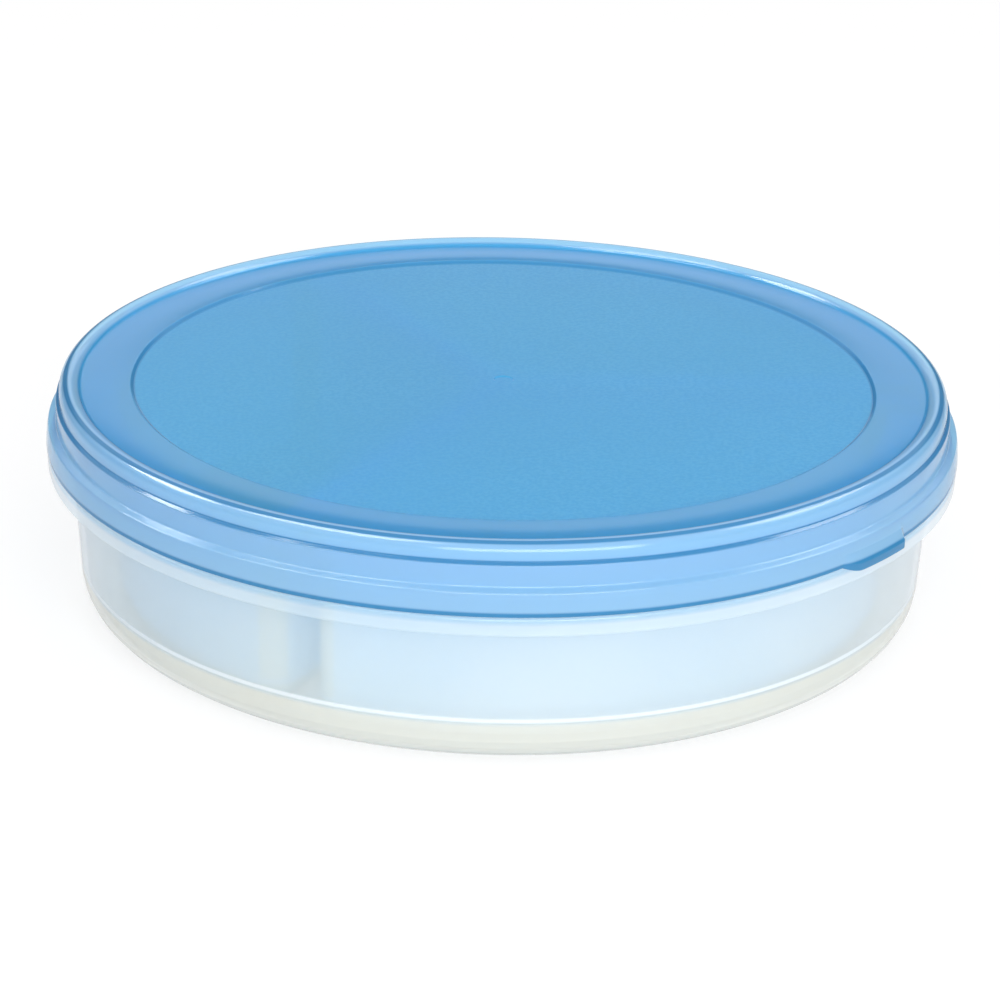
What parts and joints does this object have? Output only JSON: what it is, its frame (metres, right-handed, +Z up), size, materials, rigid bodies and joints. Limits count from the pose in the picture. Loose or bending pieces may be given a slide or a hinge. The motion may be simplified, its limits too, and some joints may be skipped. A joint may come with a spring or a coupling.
{
  "type": "round lidded storage tub",
  "caption": "Shallow round tub with a snap-fit see-through lid, a pull tab on its skirt, and a lift-out tray of rounded pockets inside.",
  "frame": {"origin": "centre of the tub's base, on the surface it stands on", "axes": "+Z up along the tub's axis, -Y to the front, the side where the gap between two pockets shows left of the middle and the lid's tab lies to the right"},
  "size_m": [0.1998, 0.1998, 0.0501],
  "materials": {
    "clear_tub": "natural translucent polypropylene, smooth outside",
    "clear_tray": "natural translucent polypropylene, satin",
    "blue_lid": "blue tinted translucent polypropylene, glossy, with a fine frosted texture on the centre panel"
  },
  "bodies": {
    "tub": {"tub": "clear_tub"},
    "tray": {"tray": "clear_tray"},
    "lid": {"lid": "blue_lid"}
  },
  "joints": [
    {"name": "tray_lift", "type": "slide", "parent": "tub", "child": "tray", "axis": [0, 0, 1], "range_m": [0, 0.06]},
    {"name": "lid_lift", "type": "slide", "parent": "tray", "child": "lid", "axis": [0, 0, 1], "range_m": [0, 0.06]}
  ]
}
